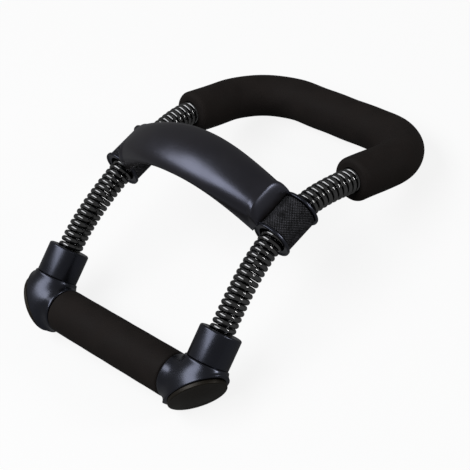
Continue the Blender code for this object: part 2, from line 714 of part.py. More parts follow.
def make_forearm_bar():
    """Steel rod bent to a U, with foam over it that is bored out for the ends of both springs."""
    y, z, turn = station(REAR_END)
    route = bar_route(0.0)
    forward = (route[1] - route[0]).normalized()
    rounding = [math.pi / 2 * i / 3 for i in range(4)]
    lead = [route[0] + forward * FOAM_EDGE * (1 - math.cos(a)) for a in rounding]
    growth = [1 - FOAM_EDGE / FOAM_RADIUS * (1 - math.sin(a)) for a in rounding]
    body = route[1:-1]
    points = lead + body + mirrored(lead)
    scales = growth + [1.0] * len(body) + growth[::-1]
    foam = tube_mesh("forearm_foam", points, FOAM_RADIUS, Matrix(), FOAM, FOAM_ROUND, scales)
    bore = tube_mesh("rod_bore", bar_route(ROD_OVERRUN), PIN_RADIUS + TOUCH_GAP, Matrix(), None,
                     ROD_ROUND, cutter=True)
    combine(foam, bore)
    for side in (-1, 1):
        mouth = rod(named_side(side) + "_spring_bore", SOCKET_BORE, -CUT_REACH, SPRING_HIDDEN + TOUCH_GAP,
                    along_arch(side * BAR_SPACING / 2, y, z, turn), cutter=True)
        combine(foam, mouth)
    combine(foam, GROUND)
    merge_slivers(foam)
    tube_mesh("forearm_rod", bar_route(ROD_OVERRUN), PIN_RADIUS, Matrix(), STEEL, ROD_ROUND)


# Joint axes, one empty each, with the moving pieces parented to them

def joint_axis(name, point):
    empty = bpy.data.objects.new(name, None)
    PIECES.objects.link(empty)
    empty.matrix_world = Matrix.Translation(ARCH @ Vector(point))
    print(name + " at, m: %.5f %.5f %.5f" % tuple(empty.matrix_world.translation))
    return empty


def carry(empty, names):
    bpy.context.view_layer.update()
    for obj in [o for o in PIECES.objects if o.name in names]:
        placed = obj.matrix_world.copy()
        obj.parent = empty
        obj.matrix_parent_inverse = empty.matrix_world.inverted()
        obj.matrix_world = placed


def make_joints():
    front = station(-(COLLAR_LENGTH + FRONT_STRETCH) / 2)
    rear = station((COLLAR_LENGTH + REAR_STRETCH) / 2)
    sides = ("left", "right")
    handle = ["handle_grip", "handle_tube"] + [s + p for s in sides for p in (
        "_spring_socket", "_elbow", "_corner_cap", "_handle_bolt", "_bolt_washer", "_tube_plug")]
    pad = ["wrist_pad", "pad_strap"] + [s + "_collar" for s in sides]
    bend_centre = (0, 0, -COLLAR_BEND_RADIUS)
    carry(joint_axis("front_bend_axis", (0, front[0], front[1])), handle)
    carry(joint_axis("rear_bend_axis", (0, rear[0], rear[1])), [s + "_spring" for s in sides])
    carry(joint_axis("pad_slide_axis", bend_centre), pad)


make_springs()
make_handle()
make_collars()
make_strap()
make_pad()
make_forearm_bar()
make_joints()
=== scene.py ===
import math

import bpy
import numpy as np
from mathutils import Matrix, Vector


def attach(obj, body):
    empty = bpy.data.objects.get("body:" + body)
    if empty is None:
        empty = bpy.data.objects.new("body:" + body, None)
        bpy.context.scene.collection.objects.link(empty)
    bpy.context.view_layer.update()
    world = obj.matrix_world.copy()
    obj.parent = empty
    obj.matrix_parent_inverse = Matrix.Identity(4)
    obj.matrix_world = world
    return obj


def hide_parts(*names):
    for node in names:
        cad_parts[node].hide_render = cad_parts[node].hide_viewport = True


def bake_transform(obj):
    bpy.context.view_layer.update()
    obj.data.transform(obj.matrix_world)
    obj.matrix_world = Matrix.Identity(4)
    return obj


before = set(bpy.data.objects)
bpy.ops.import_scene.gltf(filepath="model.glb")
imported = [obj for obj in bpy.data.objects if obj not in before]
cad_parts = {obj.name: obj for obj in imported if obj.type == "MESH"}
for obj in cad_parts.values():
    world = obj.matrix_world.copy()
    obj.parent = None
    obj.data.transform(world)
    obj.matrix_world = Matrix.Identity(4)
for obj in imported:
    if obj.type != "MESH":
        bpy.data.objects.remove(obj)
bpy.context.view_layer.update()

mm = 0.001
tiny = 1e-9    # lengths this close count as equal


# The bent arch that everything hangs on: a curve in the side plane, in metres

arch = {
    "tilt": 0.0295796,          # turn about X that stands the arch on the ground
    "shiftY": -0.0041411,
    "liftZ": 0.0560330,
    "frontStretch": 62.0 * mm,  # socket mouth to collar
    "collarLength": 29.0 * mm,
    "rearStretch": 39.5 * mm,   # collar to foam end
    "frontBendRadius": 200.0 * mm,
    "collarBendRadius": 140.0 * mm,
    "rearBendRadius": 80.0 * mm,
    "handleSpacing": 146.0 * mm,
    "padSpacing": 140.0 * mm,
    "barSpacing": 148.0 * mm,
    "socketDrop": 37.0 * mm,    # socket mouth to handle axis
}
frontEnd = -(arch["collarLength"] / 2 + arch["frontStretch"])
rearEnd = arch["collarLength"] / 2 + arch["rearStretch"]
collarSag = (arch["collarLength"] / 2) ** 2 / (2 * arch["collarBendRadius"])


def walkArch(direction, length, endRadius, samples=1200):
    # the bend rate is 1/radius, steady inside the collar and then changing evenly out to the end;
    # heading is its running sum, and place is the running sum of the heading's cosine and sine
    inner = arch["collarLength"] / 2
    run = np.linspace(0.0, inner + length, samples)
    rate = np.interp(run, [inner, inner + length], [1 / arch["collarBendRadius"], 1 / endRadius])
    step = run[1] - run[0]

    def total(values):
        return np.concatenate([[0.0], np.cumsum((values[1:] + values[:-1]) / 2 * step)])
    bent = total(rate)
    return run * direction, total(np.cos(bent)) * direction, -total(np.sin(bent)), -bent * direction


trackRun, trackY, trackZ, trackHeading = (
    np.concatenate([front[:0:-1], rear])
    for front, rear in zip(walkArch(-1, arch["frontStretch"], arch["frontBendRadius"]),
                           walkArch(1, arch["rearStretch"], arch["rearBendRadius"])))


def archAt(run):
    # world y, z and heading at distances from the collars' middle; straight on beyond either end
    run = np.asarray(run, float)
    held = np.clip(run, frontEnd, rearEnd)
    turn = np.interp(held, trackRun, trackHeading)
    y = np.interp(held, trackRun, trackY) + (run - held) * np.cos(turn)
    z = np.interp(held, trackRun, trackZ) + (run - held) * np.sin(turn)
    c, s = math.cos(arch["tilt"]), math.sin(arch["tilt"])
    return y * c - z * s + arch["shiftY"], y * s + z * c + arch["liftZ"], turn + arch["tilt"]


def sideOffset(run):
    # half the spacing of the springs: eased with 3t^2 - 2t^3 from the collar out to either end
    run = np.asarray(run, float)
    inner = arch["collarLength"] / 2
    front = np.clip((-run - inner) / arch["frontStretch"], 0, 1)
    rear = np.clip((run - inner) / arch["rearStretch"], 0, 1)
    t = np.where(run < 0, front, rear)
    outer = np.where(run < 0, arch["handleSpacing"], arch["barSpacing"])
    return (arch["padSpacing"] + (outer - arch["padSpacing"]) * t * t * (3 - 2 * t)) / 2


def localFrame(run, x, flip=False):
    # matrix whose Z runs along the arch and whose X runs across; flip turns X outwards on the left
    y, z, turn = (float(v) for v in archAt(run))
    half = Matrix.Rotation(math.pi if flip else 0.0, 4, "Z")
    return Matrix.Translation((x, y, z)) @ Matrix.Rotation(turn - math.pi / 2, 4, "X") @ half


def placed(points, matrix):
    # every point times the matrix, for an array of any shape that ends in x, y, z
    m = np.array(matrix)
    return points @ m[:3, :3].T + m[:3, 3]


# Mesh helpers

def meshFromGrid(name, rings, material, closed=False, crease=None):
    # quads join each ring to the next and each ring's last point to its first;
    # open ends close on a middle point, and a negative volume turns every face over
    rings = np.asarray(rings, float)
    count, around = rings.shape[:2]
    i = np.arange(count if closed else count - 1)[:, None]
    j = np.arange(around)[None, :]
    following = (i + 1) % count
    quads = np.stack([i * around + j, i * around + (j + 1) % around,
                      following * around + (j + 1) % around, following * around + j], -1).reshape(-1, 4)
    verts = rings.reshape(-1, 3)
    faces = quads.tolist()
    if not closed:
        last = (count - 1) * around
        ring = np.arange(around)
        verts = np.vstack([verts, rings[0].mean(0), rings[-1].mean(0)])
        nearCap = np.stack([np.full(around, len(verts) - 2), (ring + 1) % around, ring], 1)
        farCap = np.stack([np.full(around, len(verts) - 1), last + ring, last + (ring + 1) % around], 1)
        faces = faces + nearCap.tolist() + farCap.tolist()
    corners = verts[quads]
    centre = verts.mean(0)
    a, b, c, d = (corners[:, k] - centre for k in range(4))
    volume = (np.einsum("ij,ij->i", a, np.cross(b, c)) + np.einsum("ij,ij->i", a, np.cross(c, d))).sum()
    if volume < 0:
        faces = [face[::-1] for face in faces]
    mesh = bpy.data.meshes.new(name)
    mesh.from_pydata(verts.tolist(), [], faces)
    mesh.update()
    return finishMesh(name, mesh, material, crease)


def finishMesh(name, mesh, material, crease):
    # smooth shading, sharp only where two faces meet at more than the crease's degrees
    obj = bpy.data.objects.new(name, mesh)
    bpy.context.scene.collection.objects.link(obj)
    mesh.shade_smooth()
    if crease:
        mesh.set_sharp_from_angle(angle=math.radians(crease))
    mesh.materials.append(material)
    return obj


def turnedRings(profile, around):
    # each (radius, height) pair swept round Z: x = r cos a, y = r sin a, z = h
    profile = np.asarray(profile, float)
    angle = np.arange(around) / around * 2 * math.pi
    r, h = profile[:, 0, None], profile[:, 1, None]
    return np.stack([r * np.cos(angle), r * np.sin(angle), h + 0 * angle], -1)


def roundedProfile(corners, step):
    # a closed outline of (radius, height, rounding) corners, each cut by its fillet's arc
    points = []
    count = len(corners)
    for k in range(count):
        before, here, after = (np.array(corners[(k + d) % count][:2]) for d in (-1, 0, 1))
        rounding = corners[k][2]
        toBefore, toAfter = before - here, after - here
        toBefore, toAfter = toBefore / np.linalg.norm(toBefore), toAfter / np.linalg.norm(toAfter)
        halfAngle = math.acos(max(-1.0, min(1.0, float(toBefore @ toAfter)))) / 2
        back = rounding / math.tan(halfAngle)
        bisector = (toBefore + toAfter) / np.linalg.norm(toBefore + toAfter)
        centre = here + bisector * rounding / math.sin(halfAngle)
        first, last = here + toBefore * back - centre, here + toAfter * back - centre
        sweep = math.pi - 2 * halfAngle
        pieces = max(3, int(math.ceil(sweep * rounding / step)))
        for t in np.linspace(0, 1, pieces + 1):
            arm = first * math.sin((1 - t) * sweep) + last * math.sin(t * sweep)
            points.append(centre + arm / math.sin(sweep))
    return np.array(points)


def smoothMin(a, b, soft):
    # the smaller of two distances, blended over the soft width
    h = np.clip(0.5 + 0.5 * (b - a) / soft, 0, 1)
    return b + (a - b) * h - soft * h * (1 - h)


def smoothMax(a, b, soft):
    # the larger of two distances, blended in the same way
    return -smoothMin(-a, -b, soft)


# Materials: every noise is written as its scale, detail and roughness, and base is the plain colour
# that a viewport shows

def newMaterial(name, colour, roughness, metallic=0.0, specular=0.5, glossTint=(1.0, 1.0, 1.0),
                glossIndex=1.5):
    # a plain surface, with the nodes and links that a finish is built on
    mat = bpy.data.materials.new(name)
    mat.use_nodes = True
    shader = mat.node_tree.nodes["Principled BSDF"]
    shader.inputs["Base Color"].default_value = (*colour, 1.0)
    shader.inputs["Roughness"].default_value = roughness
    shader.inputs["Metallic"].default_value = metallic
    shader.inputs["Specular IOR Level"].default_value = specular
    shader.inputs["Specular Tint"].default_value = (*glossTint, 1.0)
    shader.inputs["IOR"].default_value = glossIndex
    mat.diffuse_color = (*colour, 1.0)
    return mat, mat.node_tree.nodes, mat.node_tree.links, shader


def addNode(nodes, kind, **values):
    # each value goes to the input of that name, or else to the node's own setting
    node = nodes.new(kind)
    for key, value in values.items():
        if key in node.inputs:
            node.inputs[key].default_value = value
        else:
            setattr(node, key, value)
    return node


def noiseOn(nodes, links, scale, detail, rough, squeeze=None):
    # noise on the object's own coordinates, which squeeze scales along each axis
    where = nodes.new("ShaderNodeTexCoord")
    source = where.outputs["Object"]
    if squeeze:
        mapping = nodes.new("ShaderNodeMapping")
        mapping.inputs["Scale"].default_value = squeeze
        links.new(source, mapping.inputs["Vector"])
        source = mapping.outputs["Vector"]
    noise = addNode(nodes, "ShaderNodeTexNoise", Scale=scale, Detail=detail, Roughness=rough)
    links.new(source, noise.inputs["Vector"])
    return noise


def rampBetween(nodes, links, source, low, high, start, end):
    # colour low up to start, high from end, and an even mix between
    ramp = nodes.new("ShaderNodeValToRGB")
    ramp.color_ramp.elements[0].position, ramp.color_ramp.elements[1].position = start, end
    ramp.color_ramp.elements[0].color = (*low, 1)
    ramp.color_ramp.elements[1].color = (*high, 1)
    links.new(source, ramp.inputs["Fac"])
    return ramp


def rangeBetween(nodes, links, source, low, high, start=0.3, end=0.7):
    # low + (high - low) (source - start) / (end - start), held between low and high
    node = addNode(nodes, "ShaderNodeMapRange")
    for key, value in (("From Min", start), ("From Max", end), ("To Min", low), ("To Max", high)):
        node.inputs[key].default_value = value
    links.new(source, node.inputs["Value"])
    return node


def bumpFrom(nodes, links, heights, distance, strength, onto=None):
    # slopes from the heights, laid over another bump where one is given
    bump = addNode(nodes, "ShaderNodeBump", Strength=strength, Distance=distance)
    links.new(heights, bump.inputs["Height"])
    if onto:
        links.new(onto.outputs["Normal"], bump.inputs["Normal"])
    return bump


def feedShader(links, shader, colour, bump, rough=None):
    # the finish's colour, bump and, where it varies, roughness go into the surface
    links.new(colour.outputs["Color"], shader.inputs["Base Color"])
    links.new(bump.outputs["Normal"], shader.inputs["Normal"])
    if rough:
        links.new(rough.outputs["Result"], shader.inputs["Roughness"])


foamFinish = {
    "deep": (0.0125, 0.0096, 0.0084), "worn": (0.0230, 0.0180, 0.0160), "wornFrom": (0.25, 0.8),
    "tone": (60.0, 5.0, 0.6), "roughness": (0.68, 0.88), "specular": 0.2,
    "dents": (90.0, 2.0, 0.5), "dentDepth": 0.35 * mm, "dentStrength": 0.6,
    "cells": 1500.0, "cellDepth": 0.10 * mm, "cellStrength": 0.55,
}


def foamMaterial(name, spec):
    # closed-cell foam: tiny cells, slight dents and a dusty, uneven black
    mat, nodes, links, shader = newMaterial(name, spec["deep"], spec["roughness"][0],
                                            specular=spec["specular"])
    tone = noiseOn(nodes, links, *spec["tone"])
    colour = rampBetween(nodes, links, tone.outputs["Fac"], spec["deep"], spec["worn"], *spec["wornFrom"])
    rough = rangeBetween(nodes, links, tone.outputs["Fac"], *spec["roughness"])
    where = nodes.new("ShaderNodeTexCoord")
    cells = addNode(nodes, "ShaderNodeTexVoronoi", Scale=spec["cells"])
    links.new(where.outputs["Object"], cells.inputs["Vector"])
    dents = noiseOn(nodes, links, *spec["dents"])
    dentBump = bumpFrom(nodes, links, dents.outputs["Fac"], spec["dentDepth"], spec["dentStrength"])
    cellBump = bumpFrom(nodes, links, cells.outputs["Distance"], spec["cellDepth"], spec["cellStrength"],
                        dentBump)
    feedShader(links, shader, colour, cellBump, rough)
    return mat


padFinish = {
    "deep": (0.0080, 0.0064, 0.0052), "pale": (0.0135, 0.0110, 0.0090), "paleFrom": (0.3, 0.75),
    "tone": (38.0, 4.0, 0.55), "smear": (70.0, 3.0, 0.6), "roughness": (0.28, 0.34),
    # the lavender gloss tint paints a bluish light's colour into the pad's reflections
    "specular": 1.0, "glossTint": (0.72, 0.76, 1.0), "glossIndex": 1.6,
    "waves": (45.0, 1.0, 0.4), "waveDepth": 0.16 * mm, "waveStrength": 0.5,
    "grain": (1100.0, 4.0, 0.65), "grainDepth": 0.02 * mm, "grainStrength": 0.7,
}


def padMaterial(name, spec):
    # smooth moulded skin: a fine leathery grain over very shallow waves
    mat, nodes, links, shader = newMaterial(name, spec["deep"], spec["roughness"][0],
                                            specular=spec["specular"], glossTint=spec["glossTint"],
                                            glossIndex=spec["glossIndex"])
    tone = noiseOn(nodes, links, *spec["tone"])
    colour = rampBetween(nodes, links, tone.outputs["Fac"], spec["deep"], spec["pale"], *spec["paleFrom"])
    smear = noiseOn(nodes, links, *spec["smear"])
    rough = rangeBetween(nodes, links, smear.outputs["Fac"], *spec["roughness"])
    waves = noiseOn(nodes, links, *spec["waves"])
    grain = noiseOn(nodes, links, *spec["grain"])
    waveBump = bumpFrom(nodes, links, waves.outputs["Fac"], spec["waveDepth"], spec["waveStrength"])
    grainBump = bumpFrom(nodes, links, grain.outputs["Fac"], spec["grainDepth"], spec["grainStrength"],
                         waveBump)
    feedShader(links, shader, colour, grainBump, rough)
    return mat


castFinish = {    # elbows, sockets and collars
    "deep": (0.0018, 0.0016, 0.0016), "pale": (0.0036, 0.0033, 0.0034), "paleFrom": (0.3, 0.75),
    "tone": (55.0, 3.0, 0.5), "roughness": (0.23, 0.32),
    # the lavender gloss tint paints a bluish light's colour into the plastic's reflections
    "specular": 0.95, "glossTint": (0.72, 0.77, 1.0), "glossIndex": 1.55,
    "grain": (900.0, 2.0, 0.6), "grainDepth": 0.018 * mm, "grainStrength": 0.8,
}
capFinish = {
    "deep": (0.0062, 0.0044, 0.0022), "pale": (0.0100, 0.0074, 0.0040), "paleFrom": (0.3, 0.75),
    "tone": (55.0, 3.0, 0.5), "roughness": (0.40, 0.49),
    "specular": 0.38, "glossTint": (1.0, 0.93, 0.84), "glossIndex": 1.55,
    "grain": (700.0, 2.0, 0.6), "grainDepth": 0.03 * mm, "grainStrength": 0.8,
}


def plasticMaterial(name, spec):
    # moulded plastic: fine spark grain, faint flow tone and slightly uneven gloss
    mat, nodes, links, shader = newMaterial(name, spec["deep"], spec["roughness"][0],
                                            specular=spec["specular"], glossTint=spec["glossTint"],
                                            glossIndex=spec["glossIndex"])
    tone = noiseOn(nodes, links, *spec["tone"])
    colour = rampBetween(nodes, links, tone.outputs["Fac"], spec["deep"], spec["pale"], *spec["paleFrom"])
    rough = rangeBetween(nodes, links, tone.outputs["Fac"], *spec["roughness"])
    grain = noiseOn(nodes, links, *spec["grain"])
    bump = bumpFrom(nodes, links, grain.outputs["Fac"], spec["grainDepth"], spec["grainStrength"])
    feedShader(links, shader, colour, bump, rough)
    return mat


wireFinish = {
    "base": (0.002, 0.002, 0.0022), "deep": (0.0008, 0.0008, 0.0009), "dusty": (0.0025, 0.0025, 0.0028),
    "dustyFrom": (0.35, 0.8), "tone": (160.0, 3.0, 0.6), "roughness": (0.06, 0.12),
    "specular": 1.0, "glossIndex": 1.9,
    "ripple": (420.0, 2.0, 0.5), "rippleDepth": 0.02 * mm, "rippleStrength": 0.5,
}


def wireMaterial(name, spec):
    # black lacquered wire: hard gloss, thin dust in the tone, tiny ripples of the coating
    mat, nodes, links, shader = newMaterial(name, spec["base"], spec["roughness"][0],
                                            specular=spec["specular"], glossIndex=spec["glossIndex"])
    tone = noiseOn(nodes, links, *spec["tone"])
    colour = rampBetween(nodes, links, tone.outputs["Fac"], spec["deep"], spec["dusty"], *spec["dustyFrom"])
    rough = rangeBetween(nodes, links, tone.outputs["Fac"], *spec["roughness"])
    ripple = noiseOn(nodes, links, *spec["ripple"])
    bump = bumpFrom(nodes, links, ripple.outputs["Fac"], spec["rippleDepth"], spec["rippleStrength"])
    feedShader(links, shader, colour, bump, rough)
    return mat


webbingFinish = {
    # the hollow colour is painted shade and the crest colour a painted highlight, laid on by the weave's
    # height
    "base": (0.020, 0.020, 0.022), "paintedHollowShade": (0.0012, 0.0012, 0.0014), "paintedCrestLight": (0.11, 0.11, 0.125),
    "paintedLightFrom": (0.08, 0.22), "roughness": 0.75, "specular": 0.2,
    "fibre": (1800.0, 4.0, 0.7), "fibreDepth": 0.10 * mm, "fibreStrength": 0.7, "dye": (210.0, 3.0, 0.6),
}


def webbingMaterial(name, spec):
    # woven strap: pale yarn crests as painted highlight over dark hollows as painted shade, from the mesh's
    # own weave, times fibres and dye
    mat, nodes, links, shader = newMaterial(name, spec["base"], spec["roughness"],
                                            specular=spec["specular"])
    # the weave's height at each point, a mask of painted light: highlight on the crests, shade in the
    # hollows
    paintedCrestLight = addNode(nodes, "ShaderNodeAttribute", attribute_name="paintedCrestLight")
    fibre = noiseOn(nodes, links, *spec["fibre"])
    dye = noiseOn(nodes, links, *spec["dye"])
    mixed = addNode(nodes, "ShaderNodeMath", operation="MULTIPLY")
    links.new(fibre.outputs["Fac"], mixed.inputs[0])
    links.new(dye.outputs["Fac"], mixed.inputs[1])
    # fibres and dye, times the weave's painted light
    dyeAndPaintedLight = addNode(nodes, "ShaderNodeMath", operation="MULTIPLY")
    links.new(mixed.outputs["Value"], dyeAndPaintedLight.inputs[0])
    links.new(paintedCrestLight.outputs["Fac"], dyeAndPaintedLight.inputs[1])
    colour = rampBetween(nodes, links, dyeAndPaintedLight.outputs["Value"], spec["paintedHollowShade"], spec["paintedCrestLight"],
                         *spec["paintedLightFrom"])
    bump = bumpFrom(nodes, links, fibre.outputs["Fac"], spec["fibreDepth"], spec["fibreStrength"])
    feedShader(links, shader, colour, bump)
    return mat


tubeFinish = {"dull": (0.42, 0.42, 0.43), "roughness": (0.27, 0.44), "squeeze": (0.05, 1.0, 1.0)}
zincFinish = {"dull": (0.55, 0.56, 0.58), "roughness": (0.25, 0.42), "squeeze": (1.0, 1.0, 0.4)}
steelStreaks = {"noise": (300.0, 4.0, 0.6), "lift": 1.25, "liftFrom": (0.3, 0.8), "depth": 0.01 * mm,
                "strength": 0.6}


def steelMaterial(name, spec):
    # plated steel: drawn streaks along one axis, lifting the dull tone
    mat, nodes, links, shader = newMaterial(name, spec["dull"], spec["roughness"][0], metallic=1.0)
    streaks = noiseOn(nodes, links, *steelStreaks["noise"], spec["squeeze"])
    paler = tuple(c * steelStreaks["lift"] for c in spec["dull"])
    colour = rampBetween(nodes, links, streaks.outputs["Fac"], spec["dull"], paler,
                         *steelStreaks["liftFrom"])
    rough = rangeBetween(nodes, links, streaks.outputs["Fac"], *spec["roughness"])
    bump = bumpFrom(nodes, links, streaks.outputs["Fac"], steelStreaks["depth"], steelStreaks["strength"])
    feedShader(links, shader, colour, bump, rough)
    return mat


blackFoam = foamMaterial("blackFoam", foamFinish)
padSkin = padMaterial("padSkin", padFinish)
satinPlastic = plasticMaterial("satinPlastic", castFinish)
capPlastic = plasticMaterial("capPlastic", capFinish)
springLacquer = wireMaterial("springLacquer", wireFinish)
webbing = webbingMaterial("webbing", webbingFinish)
drawnTube = steelMaterial("drawnTube", tubeFinish)
zincPlate = steelMaterial("zincPlate", zincFinish)

print("materials made")


# Springs: each is drawn as a front and a rear half that meet unseen inside the collar

spring = {
    "coilRadius": 6.38 * mm, "wireRadius": 1.77 * mm, "pitch": 3.9 * mm,
    "insert": 9.2 * mm,       # wound length hidden at each end
    "slideRoom": 10.0 * mm,   # stays unbent behind the collar, where the pad slides back to
    "curlParts": 8,           # the winding ends on a whole part of a curl
    "tail": 3.0 * mm, "tailShares": (0.33, 0.66, 1.0),   # straight end, and where its points are
    "pointsPerCurl": 28, "wireSides": 14,
}
springStart, springEnd = frontEnd - spring["insert"], rearEnd + spring["insert"]


def springHalf(name, side, low, high):
    # line = arch point + coilRadius (cos p X - sin p Up), with p = 2 pi x curls x share of the length;
    # the wire is a circle of wireRadius in the plane square to that line
    total = springEnd - springStart
    curls = round(total / spring["pitch"] * spring["curlParts"]) / spring["curlParts"]
    run = np.linspace(springStart, springEnd, int(curls * spring["pointsPerCurl"]) + 1)
    run = run[(run >= low - tiny) & (run <= high + tiny)]
    phase = (run - springStart) / total * curls * 2 * math.pi
    y, z, turn = archAt(run)
    centre = np.stack([side * sideOffset(run), y, z], 1)
    across = np.array([1.0, 0.0, 0.0])
    up = np.stack([0 * turn, -np.sin(turn), np.cos(turn)], 1)
    radial = np.cos(phase)[:, None] * across - np.sin(phase)[:, None] * up
    line = centre + spring["coilRadius"] * radial
    along = np.stack([0 * turn, np.cos(turn), np.sin(turn)], 1)
    tail = spring["tail"] * np.array(spring["tailShares"])[:, None]
    if low < springStart + tiny:
        line = np.vstack([line[0] - along[0] * tail[::-1], line])
        radial = np.vstack([np.repeat(radial[:1], len(tail), 0), radial])
    if high > springEnd - tiny:
        line = np.vstack([line, line[-1] + along[-1] * tail])
        radial = np.vstack([radial, np.repeat(radial[-1:], len(tail), 0)])
    tangent = np.gradient(line, axis=0)
    tangent /= np.linalg.norm(tangent, axis=1)[:, None]
    outward = radial - (radial * tangent).sum(1)[:, None] * tangent
    outward /= np.linalg.norm(outward, axis=1)[:, None]
    sideways = np.cross(tangent, outward)
    angle = (np.arange(spring["wireSides"]) / spring["wireSides"] * 2 * math.pi)[None, :, None]
    arm = np.cos(angle) * outward[:, None] + np.sin(angle) * sideways[:, None]
    return meshFromGrid(name, line[:, None] + spring["wireRadius"] * arm, material=springLacquer)


for side, word in ((-1, "left"), (1, "right")):
    front = springHalf(word + "SpringFront", side, springStart, 0.0)
    rear = springHalf(word + "SpringRear", side, 0.0, springEnd)
    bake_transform(front)
    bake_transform(rear)
    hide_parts(word + "_spring")
    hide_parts(word + "_spring")
print("springs wound")


# Collars, sockets and strap loops: turned pieces

collar = {
    "bore": 9.4 * mm, "boreRound": 0.3 * mm,
    "sleeve": 10.38 * mm, "sleeveRound": 0.2 * mm,
    "flange": 13.4 * mm, "flangeThickness": 2.0 * mm, "rimRound": 0.6 * mm, "backRound": 0.5 * mm,
    "recess": 0.7 * mm, "lip": 12.0 * mm, "lipSlope": 0.15 * mm,   # sunk end face inside a raised lip
    "lipFootRound": 0.2 * mm, "lipRound": 0.25 * mm,
    "around": 120, "arcStep": 0.2 * mm, "crease": 50,
}


def collarFrame(side):
    # frame at a collar's middle, local Z along the springs, sunk by half the bend inside it
    here = localFrame(0.0, side * arch["padSpacing"] / 2)
    return here @ Matrix.Translation((0, -collarSag / 2, 0))


def makeCollar(name, side):
    # bobbin outline swept round: bore, sunk end face, lip, flange, sleeve, and the same mirrored below
    half = arch["collarLength"] / 2
    inner = half - collar["flangeThickness"]
    face = half - collar["recess"]
    top = [(collar["bore"], face, collar["boreRound"]), (collar["lip"], face, collar["lipFootRound"]),
           (collar["lip"] + collar["lipSlope"], half, collar["lipRound"]),
           (collar["flange"], half, collar["rimRound"]), (collar["flange"], inner, collar["backRound"]),
           (collar["sleeve"], inner, collar["sleeveRound"])]
    bottom = [(r, -h, f) for r, h, f in reversed(top)]
    rings = turnedRings(roundedProfile(top + bottom, collar["arcStep"]), collar["around"])
    piece = meshFromGrid(name, placed(rings, collarFrame(side)), closed=True, material=satinPlastic,
                         crease=collar["crease"])
    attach(piece, "sliding_pad")
    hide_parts(name.replace("Collar", "_collar"))
    return piece


def handleFrame(side, flip=False):
    # frame where one spring's line meets the handle's axis
    return localFrame(frontEnd - arch["socketDrop"], side * arch["handleSpacing"] / 2, flip)


socket = {
    "radius": 13.6 * mm, "bore": 8.45 * mm, "length": 20.2 * mm,
    "countersink": 0.5 * mm, "countersinkRound": 0.2 * mm, "rim": 1.3 * mm, "foot": 0.45 * mm,
    "boreFoot": 0.15 * mm, "around": 96, "arcStep": 0.25 * mm, "crease": 50,
}


def makeSocket(name, side):
    # outline swept round: rounded mouth, slightly eased foot and countersunk bore
    top, low = arch["socketDrop"], arch["socketDrop"] - socket["length"]
    bore, sink, sinkRound = socket["bore"], socket["countersink"], socket["countersinkRound"]
    corners = [(bore, top - sink, sinkRound), (bore + sink, top, sinkRound),
               (socket["radius"], top, socket["rim"]), (socket["radius"], low, socket["foot"]),
               (bore, low, socket["boreFoot"])]
    rings = turnedRings(roundedProfile(corners, socket["arcStep"]), socket["around"])
    piece = meshFromGrid(name, placed(rings, handleFrame(side)), closed=True, material=satinPlastic,
                         crease=socket["crease"])
    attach(piece, "handle")
    return piece


strap = {
    "inner": 10.68 * mm, "thickness": 1.6 * mm, "width": 24.4 * mm,
    "ribs": 16, "picks": 27, "ribDepth": 0.42 * mm,   # yarns across and round, and their height
    "edge": 0.08, "edgeThickness": 0.55,              # share of the half width that thins, and down to what
    "around": 480, "across": 100, "insideStep": 8,    # the inside takes every eighth row
}


def makeLoop(name, side):
    # ring of webbing: radius = inner + thickness x share + ribDepth x (weave - 1), where weave is
    # |sin(rib + pick)| |sin(rib - pick)| and share falls with sqrt(1 - past^2) over both borders
    width, inner = strap["width"], strap["inner"]
    angle = np.arange(strap["around"]) / strap["around"] * 2 * math.pi
    across = np.linspace(-1, 1, strap["across"])
    past = np.clip((np.abs(across) - 1 + strap["edge"]) / strap["edge"], 0, 1)[:, None]
    share = strap["edgeThickness"] + (1 - strap["edgeThickness"]) * np.sqrt(1 - past ** 2)
    rib = across[:, None] * strap["ribs"] * math.pi / 2
    pick = angle[None, :] * strap["picks"]
    weave = np.abs(np.sin(rib + pick)) * np.abs(np.sin(rib - pick))
    r = inner + strap["thickness"] * share + strap["ribDepth"] * (weave - 1)
    h = across[:, None] * width / 2 + 0 * angle[None, :]
    outside = np.stack([r * np.cos(angle), r * np.sin(angle), h], -1)
    back = h[::-strap["insideStep"]]
    inside = np.stack([inner * np.cos(angle) + 0 * back, inner * np.sin(angle) + 0 * back, back], -1)
    rings = placed(np.concatenate([outside, inside]), collarFrame(side))
    piece = meshFromGrid(name, rings, closed=True, material=webbing)
    # the weave is kept per point as a mask of painted light for the material: highlight on crests, shade in
    # hollows
    paintedCrestLight = piece.data.attributes.new("paintedCrestLight", "FLOAT", "POINT")
    paintedCrestLight.data.foreach_set("value", np.concatenate([weave.ravel(), np.zeros(back.size)]).astype(np.float32))
    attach(piece, "sliding_pad")
    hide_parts("pad_strap")
    return piece


for side, word in ((-1, "left"), (1, "right")):
    makeCollar(word + "Collar", side)
    makeLoop(word + "StrapLoop", side)
    sleeve = makeSocket(word + "Socket", side)
    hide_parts(word + "_spring_socket")
print("collars, loops and sockets turned")


# Pad: an arched cushion between the collars

pad = {
    "halfLength": 64.5 * mm, "archPower": 2.27,
    "underside": 33.8 * mm, "undersideEnd": -10.5 * mm,    # at the middle, and where the springs are
    "thickness": 8.1 * mm, "thicknessEnd": 28.9 * mm,
    "width": 36.8 * mm, "widthEnd": 29.6 * mm, "taperPower": 2,
    "belly": 1.2 * mm, "bellyFade": 3.0 * mm, "bellyPower": 3.2,
    "crownPower": 1.95, "endPower": 3.9, "powerRise": 3,   # squareness of the section, middle to ends
    "endBevel": 2.3 * mm, "creaseSoft": 5.6 * mm, "tipWall": 2.4 * mm, "tipRound": 0.9 * mm,
    "collarRoom": 12.9 * mm, "roomSoft": 1.5 * mm,
    "creaseLead": 3.0 * mm, "along": 260, "endSteps": 80, "tipSteps": 8, "around": 128, "crease": 60,
}


